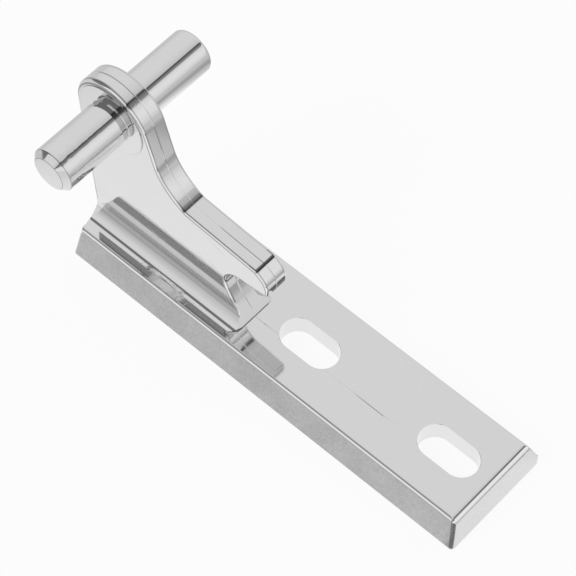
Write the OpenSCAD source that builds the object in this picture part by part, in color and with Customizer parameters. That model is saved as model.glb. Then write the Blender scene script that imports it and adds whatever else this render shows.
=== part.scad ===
// Middle hinge of a fridge door: one cast bracket and the steel pin pressed through its eye.
// X runs along the plate to the slotted end, Y across it, Z up.
// The origin is on the plate's underside, midway between the two fixing slots.

/* [Plate] */
// Length of the plate's top face
plate_l = 80.8; // [79:0.1:100]
// Width of the plate's top face
plate_w = 18; // [17:0.5:24]
// Thickness of the plate
plate_t = 5; // [4:0.1:7]
// How far each long side leans out from top to bottom
side_flare = 2.1; // [1:0.1:3]
// How far the slotted end leans out from top to bottom
end_flare = 1.6; // [0.5:0.1:2.5]
// Bevel along the top edges
top_bevel = 0.4; // [0.2:0.1:0.8]
// Radius of the plate's upright corners
corner_r = 1.6; // [0.5:0.1:2]

/* [Fixing slots] */
// Width of each slot
slot_w = 6.2; // [5:0.1:7]
// Length of each slot from end to end
slot_l = 11.2; // [8:0.1:12]
// Distance between the two slots' middles
slot_pitch = 29.2; // [26:0.1:30]
// Distance from the slotted end of the top face to the middle of the outer slot
slot_inset = 8.8; // [8:0.1:10]
// Bevel round the slots on the underside
slot_bevel = 0.8; // [0.3:0.1:1.2]

/* [Arm] */
// Thickness of the upright arm
arm_t = 4.7; // [4:0.1:5.2]
// Distance of the arm's middle from the plate's centre line
arm_offset = -2.1; // [-2.5:0.1:0]
// Radius of the eye that holds the pin
eye_r = 7.6; // [7.2:0.1:8.2]
// Distance of the pin from the plain end of the plate
pin_inset = 4.7; // [4:0.1:6]
// Height of the pin above the plate's top face
pin_h = 30.1; // [28:0.1:32]
// Radius of the hollow between the eye and the tail
neck_r = 10.5; // [9:0.1:10.8]
// Distance of that hollow's middle from the plain end
neck_reach = 23.9; // [23.5:0.1:26]
// Height of that hollow's middle above the plate's top face
neck_h = 29; // [28:0.1:30]
// Height of the tail above the plate's top face where the hollow runs out into it
tail_h = 19.1; // [18.6:0.1:20]
// Drop of the tail's top from there to the nose
tail_drop = 1.3; // [0.6:0.1:1.8]
// Distance from the plain end to the tip of the nose
nose_reach = 37.4; // [36:0.1:40]
// Height of the nose's underside above the plate's top face
nose_h = 12.4; // [11.5:0.1:13]
// Radius of the nose's upper corner
nose_r = 2.9; // [1.5:0.1:3]
// Radius of the nose's lower corner
lip_r = 1; // [0.3:0.1:1.2]
// Radius of the round throat under the nose
throat_r = 4; // [3.5:0.1:4.2]
// Distance from the plain end to the middle of the throat and to the foot's end
throat_reach = 32.4; // [31:0.1:32.8]
// Angle below level at which the throat turns into the foot's slope
heel_a = 40; // [20:5:50]
// How far the foot's slope spreads over the plate on each side
foot_spread = 2.2; // [1.5:0.1:2.4]
// Height of that slope
foot_rise = 2.4; // [1.5:0.1:3]

/* [Pin] */
// Diameter of the pin
pin_d = 8; // [7:0.1:9]
// Length of the pin in front of the eye's pad
pin_front = 13.8; // [10:0.1:18]
// Length of the pin behind the eye's pad
pin_back = 14.2; // [10:0.1:18]
// Bevel at the front end, and radius of the round back end
pin_edge = 1; // [0.5:0.1:1.5]
// Depth of the ring turned into the pin at each pad
ring_depth = 0.2; // [0.1:0.05:0.4]
// Width of that ring
ring_w = 0.95; // [0.5:0.05:1.5]
// Radius of the flat pad round the pin on each side of the eye
pad_r = 6.7; // [6:0.1:7]
// Height of that pad
pad_h = 0.1; // [0.1:0.05:0.4]

/* [Hidden] */
$fn = 64;
cut = 1;                                  // how far a cutting tool runs past a face
root = 1;                                 // how deep the arm's root sits in the plate
chrome = [0.82, 0.83, 0.84];
steel = [0.76, 0.77, 0.78];

base_w = plate_w + 2 * side_flare;
top_x = slot_pitch / 2 + slot_inset;      // where the top face ends, at the slotted end
end_x = top_x - plate_l;                  // the plain end
far_x = top_x + end_flare;                // where the underside ends, at the slotted end

front_y = arm_offset - arm_t / 2;
back_y = arm_offset + arm_t / 2;
root_z = plate_t - root;
pin_x = end_x + pin_inset;
pin_z = plate_t + pin_h;
neck_x = end_x + neck_reach;
neck_z = plate_t + neck_h;
tail_z = plate_t + tail_h;
tail_x = neck_x - sqrt(neck_r * neck_r - pow(neck_z - tail_z, 2));
tip_x = end_x + nose_reach;
tip_z = tail_z - tail_drop;
nose_z = plate_t + nose_h;
throat_x = end_x + throat_reach;
throat_z = nose_z - throat_r;

// A straight edge joins the eye to the hollow of the neck, touching both circles
neck_lean = atan2(neck_z - pin_z, neck_x - pin_x);
neck_open = acos((eye_r + neck_r) / norm([neck_x - pin_x, neck_z - pin_z]));

// The plain edge runs from the plate's corner and touches the left of the eye
edge_lean = atan2(pin_h, pin_inset) + asin(eye_r / norm([pin_inset, pin_h]));

function on_circle(x, z, r, a) = [x + r * cos(a), z + r * sin(a)];

// Stands a side view upright, between two distances across the plate
module across(y0, y1) {
    translate([0, y1, 0]) rotate([90, 0, 0]) linear_extrude(y1 - y0) children();
}

// Runs an end view along the plate
module along(x0, x1) {
    translate([x0, 0, 0]) rotate([90, 0, 90]) linear_extrude(x1 - x0) children();
}

// The plate's outline on the ground, with round corners
module plate_outline() {
    half_w = base_w / 2 - corner_r;
    translate([end_x, -half_w]) square([far_x - end_x, 2 * half_w]);
    translate([end_x + corner_r, -base_w / 2]) square([far_x - end_x - 2 * corner_r, base_w]);
    for (x = [end_x + corner_r, far_x - corner_r], y = [-half_w, half_w])
        translate([x, y]) circle(corner_r);
}

// The block of the plate, with its leaning sides and its bevels
module plate_block() {
    side = plate_w / 2 + side_flare * top_bevel / plate_t;
    slant = top_x + end_flare * top_bevel / plate_t;
    shoulder_z = plate_t - top_bevel;
    intersection() {
        along(end_x - cut, far_x + cut)
            polygon([
                [-base_w / 2, 0], [base_w / 2, 0], [side, shoulder_z],
                [plate_w / 2 - top_bevel, plate_t], [-plate_w / 2 + top_bevel, plate_t],
                [-side, shoulder_z]
            ]);
        across(-base_w, base_w)
            polygon([
                [end_x, 0], [far_x, 0], [slant, shoulder_z], [top_x - top_bevel, plate_t],
                [end_x, plate_t]
            ]);
        linear_extrude(plate_t + cut) plate_outline();
    }
}

// One slot, straight through, with a bevel on the underside
module slot_cut(x) {
    half_l = (slot_l - slot_w) / 2;
    r = slot_w / 2;
    for (end = [x - half_l, x + half_l])
        translate([end, 0, -cut]) {
            cylinder(r = r, h = plate_t + 2 * cut);
            cylinder(r1 = r + slot_bevel + cut, r2 = r, h = slot_bevel + cut);
        }
    along(x - half_l, x + half_l)
        polygon([
            [-r - slot_bevel - cut, -cut], [r + slot_bevel + cut, -cut], [r, slot_bevel],
            [r, plate_t + cut], [-r, plate_t + cut], [-r, slot_bevel]
        ]);
}

// Side view of the nose, the rounded end of the tail
module nose_side() {
    corner_x = tip_x - nose_r;
    translate([corner_x, tip_z - nose_r]) circle(nose_r);
    translate([tip_x - lip_r, nose_z + lip_r]) circle(lip_r);
    translate([corner_x, nose_z]) square([nose_r - lip_r, tip_z - nose_r - nose_z]);
    translate([corner_x, nose_z + lip_r]) square([nose_r, tip_z - nose_r - nose_z - lip_r]);
}

// Side view of the arm: plain edge, eye, neck, tail, nose, throat and foot
module arm_side() {
    eye_plain = on_circle(pin_x, pin_z, eye_r, edge_lean + 90);
    eye_neck = on_circle(pin_x, pin_z, eye_r, neck_lean + neck_open);
    neck_eye = on_circle(neck_x, neck_z, neck_r, neck_lean + neck_open + 180);
    heel = on_circle(throat_x, throat_z, throat_r, heel_a + 180);
    difference() {
        union() {
            translate([pin_x, pin_z]) circle(eye_r);
            polygon([
                [end_x, root_z], [end_x, plate_t], eye_plain, [pin_x, pin_z], eye_neck, neck_eye,
                [tail_x, tail_z], [tip_x - nose_r, tip_z], [tip_x - nose_r, nose_z],
                [throat_x, nose_z], [throat_x, throat_z], heel, [throat_x, plate_t],
                [throat_x, root_z]
            ]);
            nose_side();
        }
        intersection() {
            translate([neck_x, neck_z]) circle(neck_r);
            translate([pin_x, tail_z]) square([tail_x - pin_x, neck_r]);
        }
        translate([throat_x, throat_z]) circle(throat_r);
    }
}

// End view of the arm: an upright wall with a sloping foot on both sides
module arm_end() {
    foot_z = plate_t + foot_rise;
    top_z = pin_z + eye_r + cut;
    polygon([
        [front_y - foot_spread, root_z], [back_y + foot_spread, root_z],
        [back_y + foot_spread, plate_t], [back_y, foot_z], [back_y, top_z], [front_y, top_z],
        [front_y, foot_z], [front_y - foot_spread, plate_t]
    ]);
}

module arm() {
    intersection() {
        across(front_y - foot_spread - cut, back_y + foot_spread + cut) arm_side();
        along(end_x - eye_r, tip_x + cut) arm_end();
    }
}

// The casting: plate, arm and pads in one piece, with its slots and the bore for the pin
module bracket() {
    color(chrome)
        difference() {
            union() {
                plate_block();
                arm();
                across(front_y - pad_h, back_y + pad_h) translate([pin_x, pin_z]) circle(pad_r);
            }
            for (x = [-slot_pitch / 2, slot_pitch / 2]) slot_cut(x);
            across(front_y - pad_h - cut, back_y + pad_h + cut)
                translate([pin_x, pin_z]) circle(pin_d / 2);
        }
}

// Half section of the pin, from its front end to its back end
module pin_half() {
    r = pin_d / 2;
    groove_r = r - ring_depth;
    back_pad = pin_front + arm_t + 2 * pad_h;
    shoulder = back_pad + pin_back - pin_edge;
    polygon([
        [0, 0], [r - pin_edge, 0], [r, pin_edge],
        [r, pin_front - ring_w], [groove_r, pin_front - ring_w],
        [groove_r, pin_front], [r, pin_front], [r, back_pad], [groove_r, back_pad],
        [groove_r, back_pad + ring_w], [r, back_pad + ring_w], [r, shoulder],
        [r - pin_edge, shoulder], [r - pin_edge, shoulder + pin_edge], [0, shoulder + pin_edge]
    ]);
    translate([r - pin_edge, shoulder])
        intersection() {
            circle(pin_edge);
            square(pin_edge);
        }
}

module hinge_pin() {
    color(steel)
        translate([pin_x, front_y - pad_h - pin_front, pin_z])
            rotate([-90, 0, 0]) rotate_extrude() pin_half();
}

bracket();
hinge_pin();
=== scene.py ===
import math

import bmesh
import bpy
from bpy.props import FloatProperty, FloatVectorProperty, IntProperty, PointerProperty
from bpy.types import Operator, Panel, PropertyGroup
from mathutils import Matrix, Vector


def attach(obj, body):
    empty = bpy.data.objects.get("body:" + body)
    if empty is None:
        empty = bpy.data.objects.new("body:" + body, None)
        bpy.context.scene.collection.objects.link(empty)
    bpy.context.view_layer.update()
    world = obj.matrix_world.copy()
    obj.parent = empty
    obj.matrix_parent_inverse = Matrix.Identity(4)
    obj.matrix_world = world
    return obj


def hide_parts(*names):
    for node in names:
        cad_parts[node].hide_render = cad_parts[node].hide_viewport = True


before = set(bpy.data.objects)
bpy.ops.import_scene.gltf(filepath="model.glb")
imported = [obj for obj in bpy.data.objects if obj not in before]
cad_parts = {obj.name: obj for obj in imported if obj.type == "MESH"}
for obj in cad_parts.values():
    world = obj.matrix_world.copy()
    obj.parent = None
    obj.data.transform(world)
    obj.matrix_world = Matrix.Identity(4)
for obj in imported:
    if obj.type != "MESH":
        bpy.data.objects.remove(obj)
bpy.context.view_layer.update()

bl_info = {
    "name": "Fridge door hinge",
    "version": (1, 0, 0),
    "blender": (4, 5, 0),
    "location": "View3D > Sidebar > Hinge",
    "description": "Models the middle hinge of a fridge door: a plated bracket and its pin",
    "category": "Object",
}

# Pieces are drawn in millimetres and brought to metres when they are finished.
MM = 0.001

# Fixed places of the casting, in millimetres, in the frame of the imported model
END_X = -57.4
TOP_X = 23.4
FAR_X = 25.0
PLATE_T = 5.0
ARM_FRONT = -4.45
ARM_BACK = 0.25
SEAM_Y = -2.16
PIN_X = -52.7
PIN_Z = 35.1
PIN_FRONT = -18.35
PIN_BACK = 14.55


class HingePlateSizes(PropertyGroup):
    top_half: FloatProperty(name="Half width", description="Half the width of the plate's top face",
                            default=9.0 * MM, unit="LENGTH")
    base_half: FloatProperty(name="Half width below", description="Half the width of the underside",
                             default=11.1 * MM, unit="LENGTH")
    edge_round: FloatProperty(name="Long edges", description="Rounding of the long top edges",
                              default=0.5 * MM, unit="LENGTH")
    end_round: FloatProperty(name="End edge", description="Rounding of the slotted end's top edge",
                             default=1.05 * MM, unit="LENGTH")
    near_corner: FloatProperty(name="Near corner", description="Radius of the slotted end's near corner",
                               default=0.8 * MM, unit="LENGTH")
    far_corner: FloatProperty(name="Far corner", description="Radius of the far corner on the ground",
                              default=2.0 * MM, unit="LENGTH")
    slot_half: FloatProperty(name="Slot half width", description="Half the width of a slot",
                             default=3.1 * MM, unit="LENGTH")
    slot_run: FloatProperty(name="Slot run", description="Half the straight part of a slot",
                            default=2.5 * MM, unit="LENGTH")
    slot_pitch: FloatProperty(name="Slot distance", description="Distance between the slots' middles",
                              default=29.2 * MM, unit="LENGTH")


class HingeArmSizes(PropertyGroup):
    eye_r: FloatProperty(name="Eye", description="Radius of the eye that holds the pin",
                         default=7.6 * MM, unit="LENGTH")
    neck_r: FloatProperty(name="Neck", description="Radius of the hollow between eye and tail",
                          default=10.5 * MM, unit="LENGTH")
    throat_r: FloatProperty(name="Throat", description="Radius of the round throat under the nose",
                            default=4.0 * MM, unit="LENGTH")
    nose_r: FloatProperty(name="Nose", description="Radius of the nose's wide bend",
                          default=3.1 * MM, unit="LENGTH")
    edge_round: FloatProperty(name="Edges", description="Rounding of the arm's edges",
                              default=0.5 * MM, unit="LENGTH")
    eye_round: FloatProperty(name="Eye edge", description="Rounding of the eye's edges",
                             default=0.85 * MM, unit="LENGTH")
    pad_r: FloatProperty(name="Pad", description="Radius of the faint pad round the pin",
                         default=6.7 * MM, unit="LENGTH")


class HingePinSizes(PropertyGroup):
    radius: FloatProperty(name="Radius", description="Radius of the pin", default=4.0 * MM, unit="LENGTH")
    bevel: FloatProperty(name="End bevel", description="Bevel at the front end and round at the back",
                         default=1.0 * MM, unit="LENGTH")
    ring_depth: FloatProperty(name="Ring depth", description="Depth of the ring turned in at the arm",
                              default=0.2 * MM, unit="LENGTH")
    ring_width: FloatProperty(name="Ring width", description="Width of that ring",
                              default=1.15 * MM, unit="LENGTH")
    steps: IntProperty(name="Steps", description="Steps round the pin", default=128, min=24)


class HingeFinish(PropertyGroup):
    plating: FloatVectorProperty(name="Plating", description="Colour of the bracket's bright plating",
                                 default=(0.82, 0.82, 0.82), subtype="COLOR", min=0, max=1)
    side_plating: FloatVectorProperty(name="Side plating", description="Colour of the plate's ground sides",
                                      default=(0.50, 0.50, 0.50), subtype="COLOR", min=0, max=1)
    steel: FloatVectorProperty(name="Steel", description="Colour of the pin's polished steel",
                               default=(0.82, 0.82, 0.82), subtype="COLOR", min=0, max=1)


class HingeStage(PropertyGroup):
    floor_size: FloatProperty(name="Floor", description="Side of the floor", default=4.0, unit="LENGTH")
    lens: FloatProperty(name="Lens", description="Focal length of the camera, in millimetres",
                        default=169.02)


def clear_selection():
    """Leaves edit mode and selects nothing."""
    if bpy.context.object and bpy.context.object.mode != "OBJECT":
        bpy.ops.object.mode_set(mode="OBJECT")
    bpy.ops.object.select_all(action="DESELECT")


def edit(piece):
    """Makes the piece active and opens it in edit mode with nothing selected."""
    clear_selection()
    piece.select_set(True)
    bpy.context.view_layer.objects.active = piece
    bpy.ops.object.mode_set(mode="EDIT")
    bpy.ops.mesh.select_all(action="DESELECT")


def select_by(piece, kind, test):
    """Selects the vertices, edges or faces of the open piece that pass the test."""
    bpy.ops.mesh.select_mode(type=kind)
    mesh = bmesh.from_edit_mesh(piece.data)
    mesh.normal_update()
    items = {"VERT": mesh.verts, "EDGE": mesh.edges, "FACE": mesh.faces}[kind]
    for item in items:
        item.select_set(bool(test(item)))
    mesh.select_flush_mode()
    bmesh.update_edit_mesh(piece.data)


def pen_at(name, x, y, z):
    """Starts an outline: an open piece that is one selected vertex."""
    clear_selection()
    bpy.ops.mesh.primitive_plane_add(size=1, location=(x, y, z))
    piece = bpy.context.object
    piece.name = name
    piece.data.name = name
    bpy.ops.object.transform_apply(location=True, rotation=True, scale=True)
    bpy.ops.object.mode_set(mode="EDIT")
    bpy.ops.mesh.select_mode(type="VERT")
    bpy.ops.mesh.select_all(action="SELECT")
    bpy.ops.mesh.merge(type="CENTER")
    return piece


def tip_of(piece):
    """Where the outline's selected vertex is."""
    mesh = bmesh.from_edit_mesh(piece.data)
    return next(v.co.copy() for v in mesh.verts if v.select)


def line_to(piece, x, y, z):
    """Draws a straight edge from the outline's tip."""
    step = Vector((x, y, z)) - tip_of(piece)
    bpy.ops.mesh.extrude_vertices_move(TRANSFORM_OT_translate={"value": step})


def arc_to(piece, centre, axis, turn, steps):
    """Draws an arc from the outline's tip, turning about the axis through the centre, in degrees."""
    # The spin tool turns against the right-hand rule
    bpy.ops.mesh.spin(steps=steps, dupli=False, angle=-math.radians(turn), center=centre, axis=axis,
                      use_auto_merge=False)


def close_outline(piece):
    """Joins the outline's ends and fills it with one face."""
    bpy.ops.mesh.select_all(action="SELECT")
    bpy.ops.mesh.remove_doubles(threshold=0.001)
    bpy.ops.mesh.select_all(action="SELECT")
    bpy.ops.mesh.edge_face_add()


def extrude_all(piece, step):
    """Pulls the filled outline into a solid with its faces outwards."""
    bpy.ops.mesh.select_mode(type="FACE")
    bpy.ops.mesh.select_all(action="SELECT")
    bpy.ops.mesh.extrude_region_move(TRANSFORM_OT_translate={"value": step})
    bpy.ops.mesh.select_all(action="SELECT")
    bpy.ops.mesh.normals_make_consistent(inside=False)


def combine(piece, tool, operation):
    """Applies a boolean of the piece with a tool and removes the tool."""
    clear_selection()
    piece.select_set(True)
    bpy.context.view_layer.objects.active = piece
    cut = piece.modifiers.new("combine", "BOOLEAN")
    cut.operation = operation
    cut.object = tool
    cut.solver = "EXACT"
    bpy.ops.object.modifier_apply(modifier=cut.name)
    bpy.data.objects.remove(tool, do_unlink=True)


def clean_up(piece):
    """Merges doubles and dissolves the edges that a boolean leaves in flat faces."""
    edit(piece)
    bpy.ops.mesh.select_all(action="SELECT")
    bpy.ops.mesh.remove_doubles(threshold=0.002)
    bpy.ops.mesh.dissolve_limited(angle_limit=math.radians(0.2), use_dissolve_boundaries=False)
    bpy.ops.mesh.select_all(action="SELECT")
    bpy.ops.mesh.normals_make_consistent(inside=False)
    bpy.ops.object.mode_set(mode="OBJECT")


def finish_piece(piece, material, slot_name, *nodes):
    """Brings a piece from millimetres to metres, smooths it and hands it to the frame."""
    clear_selection()
    piece.select_set(True)
    bpy.context.view_layer.objects.active = piece
    piece.scale = (MM, MM, MM)
    bpy.ops.object.transform_apply(location=True, rotation=True, scale=True)
    bpy.ops.object.shade_smooth_by_angle(angle=math.radians(30))
    weigh = piece.modifiers.new("flat faces first", "WEIGHTED_NORMAL")
    weigh.mode = "FACE_AREA"
    weigh.weight = 100
    weigh.keep_sharp = True
    bpy.ops.object.modifier_apply(modifier=weigh.name)
    piece.data.materials.clear()
    piece.data.materials.append(material)
    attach(piece, "root")
    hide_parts(*nodes)


def sharp(e, degrees=22):
    """True where two faces meet at more than the given angle."""
    return len(e.link_faces) == 2 and e.calc_face_angle(0) > math.radians(degrees)


def middle_of(e):
    """An edge's middle and its direction."""
    a, b = e.verts[0].co, e.verts[1].co
    return (a + b) / 2, (b - a).normalized()


def round_edges(piece, rule, segments=6):
    """Rounds each edge by the radius in millimetres that the rule gives it."""
    edit(piece)
    mesh = bmesh.from_edit_mesh(piece.data)
    mesh.normal_update()
    weights = mesh.edges.layers.float.get("bevel_weight_edge")
    if weights is None:
        weights = mesh.edges.layers.float.new("bevel_weight_edge")
    for e in mesh.edges:
        e[weights] = rule(e) if sharp(e) else 0.0
    bmesh.update_edit_mesh(piece.data)
    bpy.ops.object.mode_set(mode="OBJECT")
    bevel = piece.modifiers.new("rounded edges", "BEVEL")
    bevel.limit_method = "WEIGHT"
    bevel.offset_type = "OFFSET"
    bevel.width = 1.0
    bevel.segments = segments
    bevel.use_clamp_overlap = False
    bpy.ops.object.modifier_apply(modifier=bevel.name)


def plate_solid(sizes):
    """The plate: leaning sides, round upright corners and soft edges."""
    clear_selection()
    width = FAR_X - END_X
    middle = (FAR_X + END_X) / 2
    bpy.ops.mesh.primitive_cube_add(size=1, location=(middle, 0, PLATE_T / 2),
                                    scale=(width, 2 * sizes.base_half / MM, PLATE_T))
    plate = bpy.context.object
    plate.name = "bracket_casting"
    bpy.ops.object.transform_apply(location=True, rotation=True, scale=True)
    edit(plate)
    # The top is narrower than the base, and the slotted end leans back
    select_by(plate, "FACE", lambda f: f.normal.z > 0.9)
    bpy.ops.transform.resize(value=(1, sizes.top_half / sizes.base_half, 1),
                             center_override=(middle, 0, PLATE_T))
    select_by(plate, "VERT", lambda v: v.co.z > PLATE_T - 0.1 and v.co.x > middle)
    bpy.ops.transform.translate(value=(TOP_X - FAR_X, 0, 0))
    bpy.ops.object.mode_set(mode="OBJECT")

    # Upright corners and level edges, each with its own radius
    def rule(e):
        m, way = middle_of(e)
        if abs(way.x) > 0.9:
            return sizes.edge_round / MM if m.z > 1 else 0.3
        if abs(way.y) > 0.9:
            if m.z < 1:
                return 0.3
            return sizes.end_round / MM if m.x > middle else 0.3
        if m.x > middle:
            return sizes.near_corner / MM if m.y < 0 else 0.3
        return sizes.near_corner * 1.2 / MM

    round_edges(plate, rule, 8)
    # The far corner is round on the ground and sharp on top, so its cut stands upright
    r = sizes.far_corner / MM
    half = sizes.base_half / MM
    outline = pen_at("corner", END_X - 5, -half - 5, -1)
    line_to(outline, FAR_X, -half - 5, -1)
    line_to(outline, FAR_X, half - r, -1)
    arc_to(outline, (FAR_X - r, half - r, -1), (0, 0, 1), 90, 16)
    line_to(outline, END_X - 5, half, -1)
    close_outline(outline)
    extrude_all(outline, (0, 0, PLATE_T + 2))
    combine(plate, outline, "INTERSECT")
    return plate


def tool_block(name, low, high):
    """A plain block between two corners, used as a tool."""
    clear_selection()
    middle = [(a + b) / 2 for a, b in zip(low, high)]
    bpy.ops.mesh.primitive_cube_add(size=1, location=middle, scale=[b - a for a, b in zip(low, high)])
    block = bpy.context.object
    block.name = name
    bpy.ops.object.transform_apply(location=True, rotation=True, scale=True)
    return block


def arm_solid(sizes):
    """The upright arm: its side view drawn as one outline and given the arm's thickness and foot."""
    r = sizes.eye_r / MM
    neck_r = sizes.neck_r / MM
    throat_r = sizes.throat_r / MM
    nose_r = sizes.nose_r / MM
    lip_r = 0.35
    root_z = PLATE_T - 1
    neck = Vector((END_X + 23.9, PLATE_T + 29.0))
    pin = Vector((PIN_X, PIN_Z))
    # Where the plain edge touches the eye
    inset = PIN_X - END_X
    rise = PIN_Z - PLATE_T
    lean = math.atan2(rise, inset) + math.asin(r / math.hypot(inset, rise))
    start = math.degrees(lean) + 90
    # Where the neck's straight edge touches the eye and the hollow
    way = neck - pin
    spread = math.acos((r + neck_r) / way.length)
    edge = math.degrees(math.atan2(way.y, way.x) + spread)
    wide = 12.0
    y = ARM_FRONT - wide / 2
    arm = pen_at("arm", END_X, y, root_z)

    def point(centre, radius, angle):
        a = math.radians(angle)
        return centre[0] + radius * math.cos(a), centre[1] + radius * math.sin(a)

    def go(x, z):
        line_to(arm, x, y, z)

    def sweep(centre, turn, steps):
        arc_to(arm, (centre[0], y, centre[1]), (0, -1, 0), turn, steps)

    go(END_X, PLATE_T)
    go(*point(pin, r, start))
    sweep(pin, edge - start, 48)
    go(*point(neck, neck_r, edge + 180))
    sweep(neck, 57 - edge, 20)
    # The hollow runs out in a short straight and a tighter turn at the tail's corner
    corner_r = 5.9
    corner = (END_X + 19.0 + corner_r * math.cos(math.radians(57)),
              PLATE_T + 19.66 + corner_r * math.sin(math.radians(57)))
    go(*point(corner, corner_r, 237))
    sweep(corner, 12, 5)
    # The tail ends in a tight corner, and the nose rounds off from there in a wide bend
    corner = (END_X + 34.3, PLATE_T + 17.86 - 1.6)
    go(*point(corner, 1.6, 84.7))
    sweep(corner, -34.7, 8)
    tip = (END_X + 37.4 - nose_r, PLATE_T + 14.3)
    go(*point(tip, nose_r, 50))
    sweep(tip, -50, 14)
    lip = (tip[0] + nose_r - lip_r, PLATE_T + 13.3)
    go(*point(lip, lip_r, 0))
    sweep(lip, -95, 10)
    throat = (END_X + 32.4, PLATE_T + 12.3 - throat_r)
    go(*point(throat, throat_r, 85))
    sweep(throat, 125, 26)
    go(END_X + 30.5, PLATE_T + 3.5)
    go(END_X + 33.0, PLATE_T)
    go(END_X + 33.0, root_z)
    go(END_X, root_z)
    close_outline(arm)
    extrude_all(arm, (0, wide + 4, 0))

    # The end view: a wall whose foot is a slope between two round hollows
    slope = 1.515
    hollow_r = 2.0
    low = hollow_r * math.cos(math.radians(45))
    hollow_z = PLATE_T + slope + low
    foot_r = 2.4
    foot_z = PLATE_T + foot_r - 0.01
    foot_y = 3.105
    x = END_X - 6
    wall = pen_at("foot", x, ARM_FRONT - foot_y, root_z)
    line_to(wall, x, ARM_FRONT - foot_y, foot_z - foot_r)
    arc_to(wall, (x, ARM_FRONT - foot_y, foot_z), (1, 0, 0), 45, 12)
    line_to(wall, x, ARM_FRONT - hollow_r + low, PLATE_T + slope)
    arc_to(wall, (x, ARM_FRONT - hollow_r, hollow_z), (1, 0, 0), 45, 8)
    line_to(wall, x, ARM_FRONT, PIN_Z + 10)
    line_to(wall, x, ARM_BACK, PIN_Z + 10)
    line_to(wall, x, ARM_BACK, hollow_z)
    arc_to(wall, (x, ARM_BACK + hollow_r, hollow_z), (1, 0, 0), 45, 8)
    step = foot_r * math.sin(math.radians(45))
    line_to(wall, x, ARM_BACK + foot_y - step, foot_z - step)
    arc_to(wall, (x, ARM_BACK + foot_y, foot_z), (1, 0, 0), 45, 12)
    line_to(wall, x, ARM_BACK + foot_y, root_z)
    close_outline(wall)
    extrude_all(wall, (50, 0, 0))
    combine(arm, wall, "INTERSECT")

    # The plan view: the toe's corners are round
    toe_x = END_X + 32.8
    toe_r = 2.2
    front = ARM_FRONT - 2.95
    back = ARM_BACK + 2.95
    plan = pen_at("toe", END_X - 8, front, root_z - 1)
    line_to(plan, toe_x - toe_r, front, root_z - 1)
    arc_to(plan, (toe_x - toe_r, front + toe_r, root_z - 1), (0, 0, 1), 90, 12)
    line_to(plan, toe_x, back - toe_r, root_z - 1)
    arc_to(plan, (toe_x - toe_r, back - toe_r, root_z - 1), (0, 0, 1), 90, 12)
    line_to(plan, END_X - 8, back, root_z - 1)
    close_outline(plan)
    extrude_all(plan, (0, 0, 6))
    # Above the foot the plan is a plain block that holds the whole arm
    upper = tool_block("upper", (END_X - 8, front - 1, PLATE_T + 3.4), (END_X + 42, back + 1, PIN_Z + 12))
    combine(plan, upper, "UNION")
    combine(arm, plan, "INTERSECT")
    clean_up(arm)
    return arm


def arm_rounds(arm):
    """The rule that says how much each edge of the arm is rounded, by where it is."""
    hollow_z = PLATE_T + 2.9
    toe_x = END_X + 28

    def rule(e):
        m, way = middle_of(e)
        if abs(way.y) > 0.9 or m.z < PLATE_T + 1.6:
            return 0.0
        if m.z < hollow_z:
            return 0.3 if m.x > toe_x else 0.0
        plain = arm.edge_round / MM
        around = math.degrees(math.atan2(m.z - PIN_Z, m.x - PIN_X)) % 360
        if abs(math.hypot(m.x - PIN_X, m.z - PIN_Z) - arm.eye_r / MM) < 0.1:
            # The eye's edges are rounder, and pass slowly into the others
            share = max(min((around - 62) / 50, (182 - around) / 50, 1.0), 0.0)
            return plain + (arm.eye_round / MM - plain) * share * share * (3 - 2 * share)
        return plain

    return rule


def slot_tool(sizes, x):
    """A tool the shape of one slot, with the bevel on the underside and a fine one on top."""
    r = sizes.slot_half / MM
    run = sizes.slot_run / MM
    spread = 1.0
    fine = 0.05
    z = -0.2
    tool = pen_at("slot", x - run, -r - spread, z)
    line_to(tool, x + run, -r - spread, z)
    arc_to(tool, (x + run, 0, z), (0, 0, 1), 180, 32)
    line_to(tool, x - run, r + spread, z)
    arc_to(tool, (x - run, 0, z), (0, 0, 1), 180, 32)
    close_outline(tool)
    bpy.ops.mesh.select_mode(type="FACE")
    bpy.ops.mesh.select_all(action="SELECT")
    for inwards, up in ((0, 0.01), (spread, spread), (0, PLATE_T - 0.8 - fine), (-2 * fine, 2 * fine)):
        if inwards == 0:
            bpy.ops.mesh.extrude_region_move(TRANSFORM_OT_translate={"value": (0, 0, up)})
        elif inwards > 0:
            bpy.ops.mesh.inset(thickness=inwards, depth=0)
            bpy.ops.transform.translate(value=(0, 0, up))
        else:
            bpy.ops.mesh.extrude_region_move(TRANSFORM_OT_translate={"value": (0, 0, up)})
            bpy.ops.transform.resize(value=(1 - inwards / (r + run), 1 - inwards / r, 1),
                                     center_override=(x, 0, PLATE_T))
    bpy.ops.mesh.select_all(action="SELECT")
    bpy.ops.mesh.normals_make_consistent(inside=False)
    bpy.ops.object.mode_set(mode="OBJECT")
    return tool


def round_bar(name, radius, y0, y1, x, z, steps):
    """A plain round bar along Y, for the pads and the bore."""
    clear_selection()
    bpy.ops.mesh.primitive_cylinder_add(vertices=steps, radius=radius, depth=y1 - y0,
                                        location=(x, (y0 + y1) / 2, z), rotation=(math.pi / 2, 0, 0))
    bar = bpy.context.object
    bar.name = name
    bpy.ops.object.transform_apply(location=True, rotation=True, scale=True)
    return bar


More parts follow.
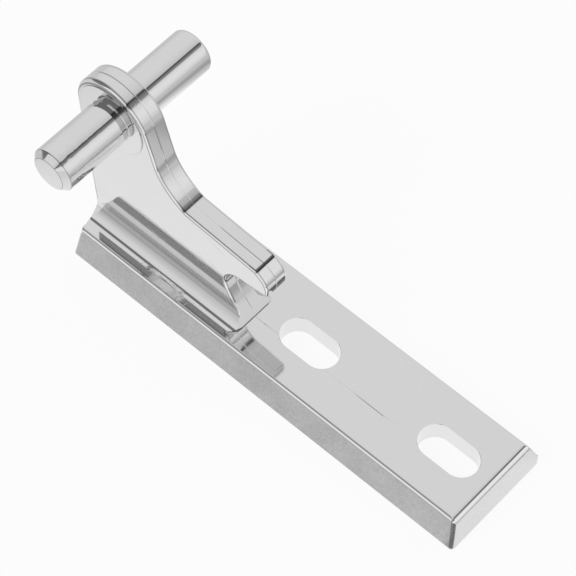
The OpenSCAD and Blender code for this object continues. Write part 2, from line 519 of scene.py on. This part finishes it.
def make_bracket(plate_sizes, arm_sizes, material):
    """Builds the casting and rounds its edges."""
    casting = plate_solid(plate_sizes)
    combine(casting, arm_solid(arm_sizes), "UNION")
    clean_up(casting)
    round_edges(casting, arm_rounds(arm_sizes))
    pad = round_bar("pad", arm_sizes.pad_r / MM, ARM_FRONT - 0.18, ARM_BACK + 0.18, PIN_X, PIN_Z, 128)
    round_edges(pad, lambda e: 0.08, 2)
    combine(casting, pad, "UNION")
    for x in (-plate_sizes.slot_pitch / MM / 2, plate_sizes.slot_pitch / MM / 2):
        combine(casting, slot_tool(plate_sizes, x), "DIFFERENCE")
    bore = round_bar("bore", 4.0, ARM_FRONT - 3, ARM_BACK + 3, PIN_X, PIN_Z, 128)
    combine(casting, bore, "DIFFERENCE")
    clean_up(casting)
    finish_piece(casting, material, "bracket_plating", "bracket")
    return casting


def make_pin(sizes, material):
    """Turns the pin from its half section, as on a lathe."""
    r = sizes.radius / MM
    edge = sizes.bevel / MM
    ring = r - sizes.ring_depth / MM
    width = sizes.ring_width / MM
    pad = 0.18
    pin = pen_at("pin_turned", PIN_X, PIN_FRONT, PIN_Z)

    def go(y, radius):
        line_to(pin, PIN_X, y, PIN_Z + radius)

    go(PIN_FRONT, r - edge)
    go(PIN_FRONT + edge, r)
    # The turned ring ends a little before the eye, at a thin bright collar
    steps = ((width, r), (width - 0.04, ring), (0.14, ring), (0.11, r - 0.02), (0, r))
    for reach, radius in steps:
        go(ARM_FRONT - pad - reach, radius)
    for reach, radius in reversed(steps):
        go(ARM_BACK + pad + reach, radius)
    go(PIN_BACK - edge, r)
    arc_to(pin, (PIN_X, PIN_BACK - edge, PIN_Z + r - edge), (1, 0, 0), -90, 10)
    line_to(pin, PIN_X, PIN_BACK, PIN_Z)
    bpy.ops.mesh.select_all(action="SELECT")
    bpy.ops.mesh.spin(steps=sizes.steps, dupli=False, angle=2 * math.pi, use_auto_merge=True,
                      center=(PIN_X, 0, PIN_Z), axis=(0, 1, 0))
    bpy.ops.mesh.select_all(action="SELECT")
    bpy.ops.mesh.remove_doubles(threshold=0.001)
    bpy.ops.mesh.normals_make_consistent(inside=False)
    # The front bevel's two rims are slightly rounded
    select_by(pin, "EDGE", lambda e: len(e.link_faces) == 2 and e.calc_face_angle() > math.radians(30)
              and e.verts[0].co.y < PIN_FRONT + 2)
    bpy.ops.mesh.bevel(offset=0.12, segments=3, affect="EDGES")
    bpy.ops.object.mode_set(mode="OBJECT")
    finish_piece(pin, material, "pin_steel", "hinge_pin")
    return pin


def add(tree, kind, inputs=None, **settings):
    """Adds a node, with its settings and its inputs: each input is a value or another node's output."""
    node = tree.nodes.new("ShaderNode" + kind)
    for name, value in settings.items():
        setattr(node, name, value)
    for name, value in (inputs or {}).items():
        if isinstance(value, bpy.types.NodeSocket):
            tree.links.new(value, node.inputs[name])
        else:
            node.inputs[name].default_value = value
    return node


def spread(tree, value, low, high, to_low, to_high):
    """Maps a value from one range to another, held at both ends."""
    inputs = {"Value": value, "From Min": low, "From Max": high, "To Min": to_low, "To Max": to_high}
    return add(tree, "MapRange", inputs).outputs["Result"]


def sum_up(tree, kind, first, second):
    """Adds, multiplies or otherwise joins two values."""
    return add(tree, "Math", {0: first, 1: second}, operation=kind).outputs[0]


def between(tree, value, low, full, fade, high):
    """Rises from 0 to 1 between the first two levels and falls back between the last two."""
    rise = spread(tree, value, low, full, 0.0, 1.0)
    return sum_up(tree, "MULTIPLY", rise, spread(tree, value, fade, high, 1.0, 0.0))


def fill_ramp(ramp, stops):
    """Gives a colour ramp its grey stops, each a place from 0 to 1 and a level."""
    levels = ramp.color_ramp
    for stop, (place, level) in ((levels.elements[0], stops[0]), (levels.elements[1], stops[-1])):
        stop.position = place
        stop.color = (level, level, level, 1)
    for place, level in stops[1:-1]:
        stop = levels.elements.new(place)
        stop.color = (level, level, level, 1)


def fine_wear_group():
    """Clouding and hair scratches of polished metal, for both metals."""
    group = bpy.data.node_groups.new("fine_wear", "ShaderNodeTree")
    group.interface.new_socket("Vector", in_out="INPUT", socket_type="NodeSocketVector")
    for name, value in (("Cloud Scale", 250.0), ("Scratch Scale", 500.0)):
        socket = group.interface.new_socket(name, in_out="INPUT", socket_type="NodeSocketFloat")
        socket.default_value = value
    for name in ("Clouds", "Scratches"):
        group.interface.new_socket(name, in_out="OUTPUT", socket_type="NodeSocketFloat")
    inlet = group.nodes.new("NodeGroupInput")
    outlet = group.nodes.new("NodeGroupOutput")
    place = inlet.outputs["Vector"]
    clouds = add(group, "TexNoise", {"Vector": place, "Scale": inlet.outputs["Cloud Scale"], "Detail": 4.0})
    # Hair scratches are the thin borders of large bent cells
    bend = add(group, "TexNoise", {"Vector": place, "Scale": 90.0, "Detail": 2.0})
    bent = add(group, "VectorMath", {0: bend.outputs["Color"], "Scale": 0.004}, operation="SCALE")
    moved = add(group, "VectorMath", {0: place, 1: bent.outputs[0]}, operation="ADD")
    cells = add(group, "TexVoronoi", {"Vector": moved.outputs[0], "Scale": inlet.outputs["Scratch Scale"]},
                feature="DISTANCE_TO_EDGE")
    lines = spread(group, cells.outputs["Distance"], 0.0, 0.03, 1.0, 0.0)
    patches = add(group, "TexNoise", {"Vector": place, "Scale": 130.0, "Detail": 1.0})
    some = spread(group, patches.outputs["Fac"], 0.48, 0.6, 0.0, 1.0)
    group.links.new(clouds.outputs["Fac"], outlet.inputs["Clouds"])
    group.links.new(sum_up(group, "MULTIPLY", lines, some), outlet.inputs["Scratches"])
    return group


def wear_group():
    """The wear group, made once."""
    return bpy.data.node_groups.get("fine_wear") or fine_wear_group()


def start_metal(name, group, cloud_scale, scratch_scale):
    """A material with its place, the wear group on it and its metal shader."""
    material = bpy.data.materials.new(name)
    material.use_nodes = True
    tree = material.node_tree
    shader = tree.nodes["Principled BSDF"]
    shader.inputs["Metallic"].default_value = 1.0
    place = add(tree, "TexCoord").outputs["Object"]
    wear = tree.nodes.new("ShaderNodeGroup")
    wear.node_tree = group
    wear.inputs["Cloud Scale"].default_value = cloud_scale
    wear.inputs["Scratch Scale"].default_value = scratch_scale
    tree.links.new(place, wear.inputs["Vector"])
    return material, tree, shader, place, wear


def plating_material(colour, side_colour, group):
    """Bright plating: mirror-like on the faces, duller on the ground sides, with a mould seam, and painted
    shade and highlights along the edges and over the foot.
    """
    material, tree, shader, place, wear = start_metal("bright_plating", group, 240.0, 420.0)
    normal = place.node.outputs["Normal"]
    parts = add(tree, "SeparateXYZ", {0: place})
    facing = add(tree, "SeparateXYZ", {0: normal})
    out = sum_up(tree, "ABSOLUTE", parts.outputs["Y"], 0.0)
    # The slotted end leans back, and the sides stop where it starts
    lean = sum_up(tree, "ADD", parts.outputs["X"], sum_up(tree, "MULTIPLY", parts.outputs["Z"], 0.32))
    end = spread(tree, lean, 24.75 * MM, 24.85 * MM, 0.0, 1.0)
    sides = spread(tree, out, 9.1 * MM, 9.2 * MM, 0.0, 1.0)
    turned = sum_up(tree, "ADD", lean, spread(tree, parts.outputs["Y"], -MM, MM, 0.0, 3.0 * MM))
    sides = sum_up(tree, "MULTIPLY", sides, spread(tree, turned, 24.5 * MM, 24.7 * MM, 1.0, 0.0))
    sides = sum_up(tree, "MULTIPLY", sides, spread(
        tree, parts.outputs["X"], (END_X + 0.05) * MM, (END_X + 0.15) * MM, 0.0, 1.0))
    # Rounded edges of the arm and of the plate: a painted highlight between two thin lines of painted shade
    across = sum_up(tree, "ABSOLUTE", facing.outputs["Y"], 0.0)
    above = spread(tree, parts.outputs["Z"], 8.4 * MM, 8.9 * MM, 0.0, 1.0)
    lines = sum_up(tree, "MAXIMUM", between(tree, across, 0.02, 0.1, 0.3, 0.5),
                   between(tree, across, 0.86, 0.92, 0.985, 0.998))
    lines = sum_up(tree, "MULTIPLY", lines, above)
    lines = sum_up(tree, "MULTIPLY", lines, spread(tree, parts.outputs["Y"], -2.0 * MM, -1.0 * MM, 1.0, 0.5))
    painted_highlight = sum_up(tree, "MULTIPLY", between(tree, across, 0.45, 0.6, 0.8, 0.88), above)
    rim = sum_up(tree, "MAXIMUM", spread(tree, out, 8.2 * MM, 8.3 * MM, 0.0, 1.0),
                 spread(tree, parts.outputs["X"], 21.9 * MM, 22.0 * MM, 0.0, 1.0))
    rim = sum_up(tree, "MULTIPLY", rim, spread(tree, parts.outputs["Z"], 3.7 * MM, 3.8 * MM, 0.0, 1.0))
    up = facing.outputs["Z"]
    # Thin lines of painted shade along the plate's rounded rims; at the slotted end only the lower one, and
    # weaker
    painted_rim_shade = sum_up(tree, "MULTIPLY", between(tree, up, 0.92, 0.95, 0.985, 0.998),
                  spread(tree, parts.outputs["X"], 22.2 * MM, 22.5 * MM, 1.0, 0.0))
    lower_shade_line = spread(tree, parts.outputs["X"], 22.2 * MM, 22.5 * MM, 1.0, 0.55)
    painted_rim_shade = sum_up(tree, "MAXIMUM", painted_rim_shade, sum_up(tree, "MULTIPLY", lower_shade_line, between(
        tree, up, 0.42, 0.46, 0.55, 0.62)))
    painted_rim_shade = sum_up(tree, "MULTIPLY", painted_rim_shade, spread(tree, parts.outputs["Y"], 7.5 * MM, 8.0 * MM, 1.0, 0.0))
    painted_rim_shade = sum_up(tree, "MULTIPLY", painted_rim_shade, sum_up(tree, "MULTIPLY", rim, 0.7))
    # Painted shade also darkens the crease where the tail turns down into the nose
    painted_crease_shade = sum_up(tree, "MULTIPLY", between(tree, up, 0.82, 0.87, 0.97, 0.985), above)
    painted_crease_shade = sum_up(tree, "MULTIPLY", painted_crease_shade, 1.6)
    painted_crease_shade = sum_up(tree, "MULTIPLY", painted_crease_shade, between(
        tree, parts.outputs["X"], -24.1 * MM, -23.9 * MM, -22.2 * MM, -22.0 * MM))
    # All the painted shade lines together
    lines = sum_up(tree, "MAXIMUM", lines, sum_up(tree, "MAXIMUM", painted_rim_shade, painted_crease_shade))
    # A painted highlight on the plate's rims
    painted_rim_highlight = sum_up(tree, "MULTIPLY", between(tree, up, 0.6, 0.66, 0.84, 0.9), rim)
    painted_highlight = sum_up(tree, "MAXIMUM", painted_highlight, painted_rim_highlight)
    # The base colour is darkened by the painted shade lines and lightened by the painted highlights
    edges = sum_up(tree, "ADD", sum_up(tree, "MULTIPLY", lines, -0.5), sum_up(tree, "MULTIPLY", painted_highlight, 0.14))
    edges = sum_up(tree, "ADD", edges, 1.0)

    # The ground sides are mottled by short crooked marks
    marks = add(tree, "TexNoise", {"Vector": place, "Scale": 900.0, "Detail": 2.0, "Distortion": 2.6})
    broad = add(tree, "TexNoise", {"Vector": place, "Scale": 160.0, "Detail": 2.0})
    mottle = spread(tree, marks.outputs["Fac"], 0.3, 0.7, 0.91, 1.09)
    wide = spread(tree, broad.outputs["Fac"], 0.35, 0.65, 0.95, 1.05)
    dull = add(tree, "VectorMath", {0: (*side_colour,), "Scale": sum_up(tree, "MULTIPLY", mottle, wide)},
               operation="SCALE")
    clean = spread(tree, wear.outputs["Clouds"], 0.3, 0.7, 0.985, 1.0)
    clean = sum_up(tree, "SUBTRACT", clean, sum_up(tree, "MULTIPLY", wear.outputs["Scratches"], 0.02))
    # Where the mould's halves met there is a fine ridge along the middle of the arm
    off = sum_up(tree, "ABSOLUTE", sum_up(tree, "ADD", parts.outputs["Y"], -SEAM_Y * MM), 0.0)
    seam = spread(tree, off, 0.02 * MM, 0.13 * MM, 1.0, 0.0)
    faint = add(tree, "TexNoise", {"Vector": place, "Scale": 60.0, "Detail": 1.0})
    seam = sum_up(tree, "MULTIPLY", seam, spread(tree, faint.outputs["Fac"], 0.35, 0.6, 0.4, 1.0))
    seam = sum_up(tree, "MULTIPLY", seam, spread(tree, parts.outputs["X"], 2.5 * MM, 6.0 * MM, 1.0, 0.0))
    clean = sum_up(tree, "SUBTRACT", clean, sum_up(tree, "MULTIPLY", seam, 0.15))
    clean = sum_up(tree, "SUBTRACT", clean, sum_up(tree, "MULTIPLY", end, spread(
        tree, marks.outputs["Fac"], 0.3, 0.7, 0.11, 0.05)))
    bright = add(tree, "VectorMath", {0: (*colour,), "Scale": clean}, operation="SCALE")
    mix = add(tree, "Mix", {"Factor": sides, "A": bright.outputs[0], "B": dull.outputs[0]},
              data_type="VECTOR")
    # Just over the foot the arm's faces get painted shade in streaks along them, and are a little rougher
    # there
    low = between(tree, parts.outputs["Z"], 5.7 * MM, 6.7 * MM, 8.9 * MM, 9.8 * MM)
    low = sum_up(tree, "MULTIPLY", low, spread(tree, across, 0.60, 0.68, 0.0, 1.0))
    start = sum_up(tree, "SUBTRACT", parts.outputs["X"], sum_up(tree, "MULTIPLY", parts.outputs["Z"], 0.42))
    low = sum_up(tree, "MULTIPLY", low, spread(tree, start, -59.5 * MM, -59.3 * MM, 0.0, 1.0))
    drawn = add(tree, "VectorMath", {0: place, 1: (10.0, 0.0, 1300.0)}, operation="MULTIPLY")
    painted_streak_shade = add(tree, "TexNoise", {"Vector": drawn.outputs[0], "Scale": 1.0, "Detail": 3.0})
    painted_streak_shade = spread(tree, painted_streak_shade.outputs["Fac"], 0.38, 0.62, 0.48, 0.26)
    edges = sum_up(tree, "SUBTRACT", edges, sum_up(tree, "MULTIPLY", low, painted_streak_shade))
    colour_with_painted_light = add(tree, "VectorMath", {0: mix.outputs["Result"], "Scale": edges}, operation="SCALE")
    tree.links.new(colour_with_painted_light.outputs[0], shader.inputs["Base Color"])

    gloss = spread(tree, wear.outputs["Clouds"], 0.3, 0.7, 0.045, 0.075)
    rough = sum_up(tree, "MULTIPLY", sides, 0.22)
    rough = sum_up(tree, "ADD", rough, sum_up(tree, "MULTIPLY", end, 0.12))
    rough = sum_up(tree, "ADD", rough, sum_up(tree, "MULTIPLY", low, 0.05))
    # A dull film lies on the arm's face above them
    film = between(tree, parts.outputs["Z"], 10.2 * MM, 11.0 * MM, 13.55 * MM, 13.7 * MM)
    film = sum_up(tree, "MULTIPLY", film, spread(tree, across, 0.98, 0.995, 0.0, 1.0))
    tree.links.new(spread(tree, film, 0.0, 1.0, 1.0, 0.8), shader.inputs["Metallic"])
    tree.links.new(sum_up(tree, "ADD", gloss, rough), shader.inputs["Roughness"])

    ridge = add(tree, "Bump", {"Height": seam, "Strength": 1.0, "Distance": 0.06 * MM})
    grain = sum_up(tree, "MULTIPLY", marks.outputs["Fac"], sum_up(tree, "MAXIMUM", sides, end))
    grain = add(tree, "Bump", {"Height": grain, "Strength": 1.0, "Distance": 0.02 * MM,
                               "Normal": ridge.outputs["Normal"]})
    haze = sum_up(tree, "SUBTRACT", wear.outputs["Clouds"], wear.outputs["Scratches"])
    haze = add(tree, "Bump", {"Height": haze, "Strength": 1.0, "Distance": 0.002 * MM,
                              "Normal": grain.outputs["Normal"]})
    tree.links.new(haze.outputs["Normal"], shader.inputs["Normal"])
    return material


def steel_material(colour, group):
    """Polished steel: fine turning rings, a few dents near the front end, and painted shade on the bevel's
    rims and in the turned ring.
    """
    material, tree, shader, place, wear = start_metal("polished_steel", group, 300.0, 500.0)
    wear_and_painted_shade = spread(tree, wear.outputs["Clouds"], 0.3, 0.7, 0.985, 1.0)
    wear_and_painted_shade = sum_up(tree, "SUBTRACT", wear_and_painted_shade, sum_up(tree, "MULTIPLY", wear.outputs["Scratches"], 0.03))
    # A thin line of painted shade on both rims of the front bevel
    reach = add(tree, "VectorMath", {0: place, 1: (PIN_X * MM, 0, PIN_Z * MM)}, operation="SUBTRACT")
    reach = add(tree, "VectorMath", {0: reach.outputs[0], 1: (1, 0, 1)}, operation="MULTIPLY")
    reach = add(tree, "VectorMath", {0: reach.outputs[0]}, operation="LENGTH").outputs["Value"]
    parts = add(tree, "SeparateXYZ", {0: place})
    tip = spread(tree, parts.outputs["Y"], -17.3 * MM, -17.2 * MM, 1.0, 0.0)
    painted_bevel_shade = sum_up(tree, "MAXIMUM", between(tree, reach, 2.92 * MM, 2.97 * MM, 3.04 * MM, 3.09 * MM),
                  spread(tree, reach, 3.9 * MM, 3.96 * MM, 0.0, 1.0))
    wear_and_painted_shade = sum_up(tree, "SUBTRACT", wear_and_painted_shade, sum_up(tree, "MULTIPLY", sum_up(tree, "MULTIPLY", painted_bevel_shade, tip), 0.4))
    # Painted shade in the rings turned into the pin: a dark streak and a dark left end, a lighter level over
    # most of the rest, and little at the top
    middle = sum_up(tree, "ABSOLUTE", sum_up(tree, "ADD", parts.outputs["Y"], 2.1 * MM), 0.0)
    painted_ring_shade = between(tree, middle, 2.64 * MM, 2.67 * MM, 3.68 * MM, 3.71 * MM)
    slant = sum_up(tree, "SUBTRACT", parts.outputs["Z"], sum_up(tree, "MULTIPLY", parts.outputs["X"], 0.6))
    level = PIN_Z - 0.6 * PIN_X
    ring_shade_amount = spread(tree, slant, (level + 2.3) * MM, (level + 2.5) * MM, 0.30, 0.04)
    darkest_shade_streak = between(tree, slant, (level + 2.45) * MM, (level + 2.55) * MM,
                    (level + 2.95) * MM, (level + 3.05) * MM)
    ring_shade_amount = sum_up(tree, "MAXIMUM", ring_shade_amount, sum_up(tree, "MULTIPLY", darkest_shade_streak, 0.75))
    ring_shade_amount = sum_up(tree, "MAXIMUM", ring_shade_amount, spread(
        tree, parts.outputs["X"], (PIN_X - 3.3) * MM, (PIN_X - 1.6) * MM, 0.8, 0.0))
    wear_and_painted_shade = sum_up(tree, "SUBTRACT", wear_and_painted_shade, sum_up(tree, "MULTIPLY", painted_ring_shade, ring_shade_amount))
    bright = add(tree, "VectorMath", {0: (*colour,), "Scale": wear_and_painted_shade}, operation="SCALE")
    tree.links.new(bright.outputs[0], shader.inputs["Base Color"])
    gloss = spread(tree, wear.outputs["Clouds"], 0.3, 0.7, 0.04, 0.08)
    tree.links.new(gloss, shader.inputs["Roughness"])

    along = add(tree, "VectorMath", {0: place, 1: (60.0, 4200.0, 60.0)}, operation="MULTIPLY")
    rings = add(tree, "TexNoise", {"Vector": along.outputs[0], "Scale": 1.0, "Detail": 2.0})
    rings = add(tree, "Bump", {"Height": rings.outputs["Fac"], "Strength": 1.0, "Distance": 0.0006 * MM})
    dents = add(tree, "TexNoise", {"Vector": place, "Scale": 800.0, "Detail": 1.0})
    front = spread(tree, parts.outputs["Y"], -16.0 * MM, -6.0 * MM, 1.0, 0.0)
    dents = sum_up(tree, "MULTIPLY", dents.outputs["Fac"], front)
    dents = add(tree, "Bump", {"Height": dents, "Strength": 1.0, "Distance": 0.045 * MM,
                               "Normal": rings.outputs["Normal"]})
    tree.links.new(dents.outputs["Normal"], shader.inputs["Normal"])
    return material


def make_floor(sizes):
    """A plain white floor that keeps a soft shadow, and shows the metal a painted pool of light and shade.
    """
    clear_selection()
    bpy.ops.mesh.primitive_plane_add(size=sizes.floor_size, location=(0, 0, 0))
    floor = bpy.context.object
    floor.name = "floor"
    material = bpy.data.materials.new("white_floor")
    material.use_nodes = True
    tree = material.node_tree
    shader = tree.nodes["Principled BSDF"]
    shader.inputs["Base Color"].default_value = (0.9, 0.9, 0.9, 1)
    shader.inputs["Roughness"].default_value = 0.9
    shader.inputs["Specular IOR Level"].default_value = 0.0
    path = add(tree, "LightPath")

    # What the bright metal sees of the floor: a painted pool of light that fades into painted shade to the
    # back
    place = add(tree, "TexCoord").outputs["Object"]
    back = add(tree, "VectorMath", {0: place, 1: (0.15, 1, 0)}, operation="DOT_PRODUCT").outputs["Value"]
    painted_light_pool = add(tree, "ValToRGB", {"Fac": spread(tree, back, -0.1, 0.1, 0.0, 1.0)})
    fill_ramp(painted_light_pool, (
        (0.0, 0.75), (0.4, 0.90), (0.5, 0.95), (0.56, 0.97), (0.575, 0.93), (0.593, 0.83), (0.613, 0.70),
        (0.625, 0.62), (0.64, 0.60), (0.655, 0.57), (0.675, 0.43), (0.70, 0.40), (0.74, 0.42),
        (0.80, 0.48), (0.88, 0.54), (0.96, 0.61), (1.0, 0.62),
    ))
    # Far to the left the painted floor light keeps a middle level
    parts = add(tree, "SeparateXYZ", {0: place})
    left = spread(tree, parts.outputs["X"], -0.10, -0.068, 1.0, 0.0)
    painted_floor_level = add(tree, "Mix", {"Factor": left, "A": painted_light_pool.outputs["Color"], "B": (0.65, 0.65, 0.65)},
               data_type="VECTOR")
    # A patch of painted shadow lies just beyond the near right corner
    painted_shadow_patch = between(tree, parts.outputs["X"], 22.5 * MM, 24.0 * MM, 60.0 * MM, 70.0 * MM)
    aside = between(tree, parts.outputs["Y"], -60.0 * MM, -50.0 * MM, -12.5 * MM, -11.0 * MM)
    painted_shadow_patch = spread(tree, sum_up(tree, "MULTIPLY", painted_shadow_patch, aside), 0.0, 1.0, 1.0, 0.2)
    level = add(tree, "VectorMath", {0: painted_floor_level.outputs["Result"], 1: painted_shadow_patch}, operation="MULTIPLY")
    # To glossy rays the floor glows with this painted light and shade
    painted_floor_glow = add(tree, "Emission", {"Color": level.outputs[0]})
    white = add(tree, "Emission", {"Color": (1, 1, 1, 1)})
    lit = add(tree, "MixShader", {"Fac": path.outputs["Is Glossy Ray"], 1: shader.outputs["BSDF"],
                                  2: painted_floor_glow.outputs["Emission"]})
    seen = sum_up(tree, "MULTIPLY", path.outputs["Is Camera Ray"], 0.92)
    mix = add(tree, "MixShader", {"Fac": seen, 1: lit.outputs[0], 2: white.outputs["Emission"]})
    tree.links.new(mix.outputs[0], tree.nodes["Material Output"].inputs["Surface"])
    floor.data.materials.append(material)
    return floor


def make_surroundings():
    """White to the camera, and a soft grey studio with two dark gaps to everything else."""
    world = bpy.data.worlds.new("studio")
    bpy.context.scene.world = world
    world.use_nodes = True
    tree = world.node_tree
    place = add(tree, "TexCoord").outputs["Generated"]

    # Long soft boxes run along Y, so the level follows the turn about Y, from -180 to 180 degrees
    parts = add(tree, "SeparateXYZ", {0: place})
    turn = sum_up(tree, "ARCTAN2", parts.outputs["Z"], parts.outputs["X"])
    boxes = add(tree, "ValToRGB", {"Fac": spread(tree, turn, -math.pi, math.pi, 0.0, 1.0)})
    stops = (
        (-180, 0.73), (-100, 0.70), (-30, 0.50), (-12, 0.58), (-5, 0.64), (3, 0.73), (11, 0.82),
        (20, 0.87), (28, 0.89), (36, 0.865), (45, 0.80), (48, 0.74), (51, 0.32), (58, 0.20), (62, 0.16),
        (64, 0.04), (66.5, 0.04), (68, 0.45), (71, 0.64), (83, 0.71), (91, 0.75), (107, 0.785), (155, 0.785), (172, 0.75), (180, 0.73),
    )
    fill_ramp(boxes, [((angle + 180) / 360, level) for angle, level in stops])

    # The dark gap between the front boxes, which the foot, the arm and the ring show
    off = sum_up(tree, "ABSOLUTE", sum_up(tree, "ADD", parts.outputs["Y"], 0.402), 0.0)
    off = sum_up(tree, "SUBTRACT", off, spread(tree, parts.outputs["X"], -0.85, -0.45, 0.3, 0.0))
    gap = spread(tree, off, 0.11, 0.18, 1.0, 0.0)
    above = spread(tree, parts.outputs["Z"], -0.15, 0.1, 0.0, 1.0)
    leftwards = spread(tree, parts.outputs["X"], 0.40, 0.60, 1.0, 0.0)
    gap = sum_up(tree, "MULTIPLY", sum_up(tree, "MULTIPLY", gap, above), leftwards)
    shade = sum_up(tree, "MULTIPLY", gap, 0.8)
    level = add(tree, "Mix", {"Factor": shade, "A": boxes.outputs["Color"], "B": (0.04, 0.04, 0.04)},
                data_type="VECTOR")

    path = add(tree, "LightPath")
    white = add(tree, "Background", {"Color": (1, 1, 1, 1)})
    background = tree.nodes["Background"]
    tree.links.new(level.outputs["Result"], background.inputs["Color"])
    mix = add(tree, "MixShader", {"Fac": path.outputs["Is Camera Ray"], 1: background.outputs[0],
                                  2: white.outputs[0]})
    tree.links.new(mix.outputs[0], tree.nodes["World Output"].inputs["Surface"])


def make_camera(lens):
    """The photograph's view: the place and directions fitted to the plate, the slots and the pin."""
    data = bpy.data.cameras.new("camera")
    camera = bpy.data.objects.new("camera", data)
    bpy.context.scene.collection.objects.link(camera)
    data.sensor_width = 36
    data.lens = lens
    data.clip_start = 0.01
    data.clip_end = 20
    right = Vector((0.7427, 0.6695, 0.0094)).normalized()
    back = Vector((0.3518, -0.4021, 0.8454)).normalized()
    up = back.cross(right).normalized()
    right = up.cross(back)
    turn = Matrix((right, up, back)).transposed().to_4x4()
    turn.translation = Vector((130.50, -171.47, 376.84)) * MM
    camera.matrix_world = turn
    bpy.context.scene.camera = camera


def make_lamp(name, place, aim, size, power):
    """A square soft lamp aimed at a point."""
    data = bpy.data.lights.new(name, "AREA")
    data.size = size
    data.energy = power
    lamp = bpy.data.objects.new(name, data)
    bpy.context.scene.collection.objects.link(lamp)
    lamp.location = place
    lamp.rotation_euler = (Vector(aim) - Vector(place)).to_track_quat("-Z", "Y").to_euler()
    # Its own outline isn't mirrored in the metal
    lamp.visible_glossy = False


class HINGE_OT_bracket(Operator):
    """Model the casting: plate, slots, arm, eye and foot"""
    bl_idname = "hinge.bracket"
    bl_label = "Bracket"

    def execute(self, context):
        scene = context.scene
        finish = scene.hinge_finish
        material = plating_material(finish.plating, finish.side_plating, wear_group())
        make_bracket(scene.hinge_plate, scene.hinge_arm, material)
        return {"FINISHED"}


class HINGE_OT_pin(Operator):
    """Turn the pin that is pressed through the eye"""
    bl_idname = "hinge.pin"
    bl_label = "Pin"

    def execute(self, context):
        scene = context.scene
        material = steel_material(scene.hinge_finish.steel, wear_group())
        make_pin(scene.hinge_pin_sizes, material)
        return {"FINISHED"}


class HINGE_OT_stage(Operator):
    """Set the floor, the studio and the camera"""
    bl_idname = "hinge.stage"
    bl_label = "Stage"

    def execute(self, context):
        scene = context.scene
        make_floor(scene.hinge_stage)
        make_surroundings()
        make_lamp("key", (-0.5, -0.9, 1.0), (0, 0, 0), 0.6, 6)
        make_camera(scene.hinge_stage.lens)
        # The throat and the foot mirror each other many times
        scene.cycles.glossy_bounces = 12
        scene.view_settings.view_transform = "Standard"
        return {"FINISHED"}


class HINGE_PT_panel(Panel):
    """Sizes, finishes and pieces of the hinge"""
    bl_label = "Fridge door hinge"
    bl_idname = "HINGE_PT_panel"
    bl_space_type = "VIEW_3D"
    bl_region_type = "UI"
    bl_category = "Hinge"

    def draw(self, context):
        scene = context.scene
        for group in (scene.hinge_plate, scene.hinge_arm, scene.hinge_pin_sizes, scene.hinge_finish,
                      scene.hinge_stage):
            box = self.layout.box()
            for name in group.bl_rna.properties.keys():
                if name not in ("rna_type", "name"):
                    box.prop(group, name)
        for piece in (HINGE_OT_bracket, HINGE_OT_pin, HINGE_OT_stage):
            self.layout.operator(piece.bl_idname)


CLASSES = (
    HingePlateSizes, HingeArmSizes, HingePinSizes, HingeFinish, HingeStage,
    HINGE_OT_bracket, HINGE_OT_pin, HINGE_OT_stage, HINGE_PT_panel,
)


def register():
    for cls in CLASSES:
        bpy.utils.register_class(cls)
    bpy.types.Scene.hinge_plate = PointerProperty(type=HingePlateSizes)
    bpy.types.Scene.hinge_arm = PointerProperty(type=HingeArmSizes)
    bpy.types.Scene.hinge_pin_sizes = PointerProperty(type=HingePinSizes)
    bpy.types.Scene.hinge_finish = PointerProperty(type=HingeFinish)
    bpy.types.Scene.hinge_stage = PointerProperty(type=HingeStage)


def unregister():
    del bpy.types.Scene.hinge_stage
    del bpy.types.Scene.hinge_finish
    del bpy.types.Scene.hinge_pin_sizes
    del bpy.types.Scene.hinge_arm
    del bpy.types.Scene.hinge_plate
    for cls in reversed(CLASSES):
        bpy.utils.unregister_class(cls)


def main():
    register()
    bpy.ops.hinge.bracket()
    bpy.ops.hinge.pin()
    bpy.ops.hinge.stage()


if __name__ == "__main__":
    main()
